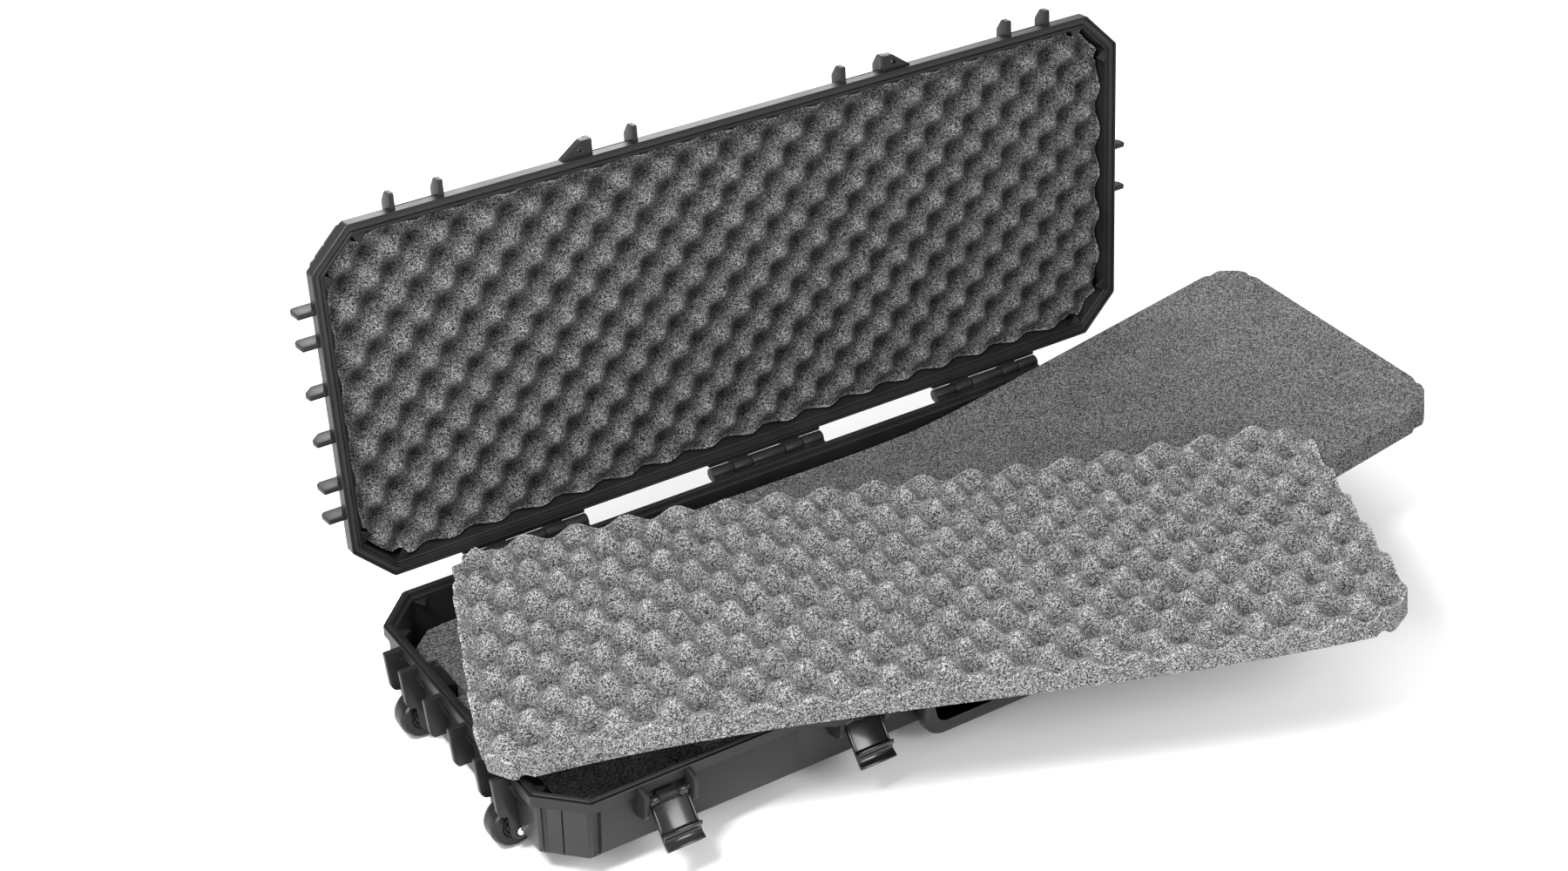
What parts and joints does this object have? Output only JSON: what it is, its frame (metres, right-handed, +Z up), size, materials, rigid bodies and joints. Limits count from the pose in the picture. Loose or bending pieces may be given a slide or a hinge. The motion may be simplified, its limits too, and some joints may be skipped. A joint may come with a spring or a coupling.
{
  "type": "wheeled hard case",
  "caption": "Long wheeled hard case of moulded plastic, lid open on its hinges, draw latches hanging, egg-crate foam in the lid and loose foam sheets fanned over the rim.",
  "frame": {"origin": "on the ground, under the middle of the whole case's bounding box", "axes": "+Z up, +X along the case away from the wheels, -Y towards the latches, +Y towards the lid hinges"},
  "size_m": [1.1684, 0.756, 0.5247],
  "materials": {
    "black_plastic": "satin",
    "latch_plastic": "satin",
    "handle_plastic": "satin",
    "tyre_rubber": "matte",
    "hub_plastic": "satin",
    "seal_rubber": "matte",
    "zinc_steel": "bright",
    "pin_steel": "dark",
    "lid_foam": "open-cell foam",
    "egg_crate_foam": "open-cell foam",
    "flat_foam": "open-cell foam"
  },
  "bodies": {
    "base": {"base_shell": "black_plastic", "base_floor_foam": "flat_foam", "hinge_pin_left": "pin_steel", "hinge_pin_middle": "pin_steel", "hinge_pin_right": "pin_steel", "latch_pin_1": "pin_steel", "latch_pin_2": "pin_steel", "latch_pin_3": "pin_steel", "latch_pin_4": "pin_steel", "carry_handle_pin_left": "pin_steel", "carry_handle_pin_right": "pin_steel", "pull_handle_pin_front": "pin_steel", "pull_handle_pin_back": "pin_steel", "axle_bolt_front": "zinc_steel", "axle_nut_front": "zinc_steel", "axle_bolt_back": "zinc_steel", "axle_nut_back": "zinc_steel"},
    "lid": {"lid_shell": "black_plastic", "lid_seal": "seal_rubber", "lid_foam": "lid_foam"},
    "latch_1_body": {"latch_1": "latch_plastic"},
    "latch_2_body": {"latch_2": "latch_plastic"},
    "latch_3_body": {"latch_3": "latch_plastic"},
    "latch_4_body": {"latch_4": "latch_plastic"},
    "wheel_front": {"tyre_front": "tyre_rubber", "wheel_hub_front": "hub_plastic"},
    "wheel_back": {"tyre_back": "tyre_rubber", "wheel_hub_back": "hub_plastic"},
    "carry_handle_body": {"carry_handle": "handle_plastic"},
    "pull_handle_body": {"pull_handle": "handle_plastic"},
    "egg_crate_sheet": {"loose_egg_crate_foam": "egg_crate_foam"},
    "flat_sheet": {"loose_flat_foam": "flat_foam"}
  },
  "joints": [
    {"name": "lid_hinge", "type": "hinge", "parent": "base", "child": "lid", "pos_m": [-0.06263, 0.29555, 0.1], "axis": [-1, 0, 0], "range_deg": [-95.9, 0]},
    {"name": "egg_crate_sheet_turn", "type": "hinge", "parent": "base", "child": "egg_crate_sheet", "pos_m": [-0.06263, -0.46545, 0.125], "axis": [-1, 0, 0], "range_deg": [-180, 0]},
    {"name": "flat_sheet_turn", "type": "hinge", "parent": "base", "child": "flat_sheet", "pos_m": [-0.06263, -0.46545, 0.125], "axis": [-1, 0, 0], "range_deg": [-180, 0]},
    {"name": "latch_1_hinge", "type": "hinge", "parent": "base", "child": "latch_1_body", "pos_m": [-0.44063, -0.11995, 0.081], "axis": [1, 0, 0], "range_deg": [-138.7, 20]},
    {"name": "latch_2_hinge", "type": "hinge", "parent": "base", "child": "latch_2_body", "pos_m": [-0.21863, -0.11995, 0.081], "axis": [1, 0, 0], "range_deg": [-138.7, 20]},
    {"name": "latch_3_hinge", "type": "hinge", "parent": "base", "child": "latch_3_body", "pos_m": [0.09337, -0.11995, 0.081], "axis": [1, 0, 0], "range_deg": [-138.7, 20]},
    {"name": "latch_4_hinge", "type": "hinge", "parent": "base", "child": "latch_4_body", "pos_m": [0.31537, -0.11995, 0.081], "axis": [1, 0, 0], "range_deg": [-138.7, 20]},
    {"name": "wheel_front_spin", "type": "hinge", "parent": "base", "child": "wheel_front", "pos_m": [-0.55463, -0.01345, 0.0265], "axis": [0, 1, 0], "continuous": true},
    {"name": "wheel_back_spin", "type": "hinge", "parent": "base", "child": "wheel_back", "pos_m": [-0.55463, 0.18255, 0.0265], "axis": [0, 1, 0], "continuous": true},
    {"name": "carry_handle_hinge", "type": "hinge", "parent": "base", "child": "carry_handle_body", "pos_m": [-0.06263, -0.12005, 0.076], "axis": [-1, 0, 0], "range_deg": [0, 90]},
    {"name": "pull_handle_hinge", "type": "hinge", "parent": "base", "child": "pull_handle_body", "pos_m": [0.44096, 0.08455, 0.076], "axis": [0, -1, 0], "range_deg": [0, 90]}
  ],
  "couplings": [
    {"joint": "egg_crate_sheet_turn", "follows": "lid_hinge", "ratio": 1.8768},
    {"joint": "flat_sheet_turn", "follows": "lid_hinge", "ratio": 1.8768}
  ]
}
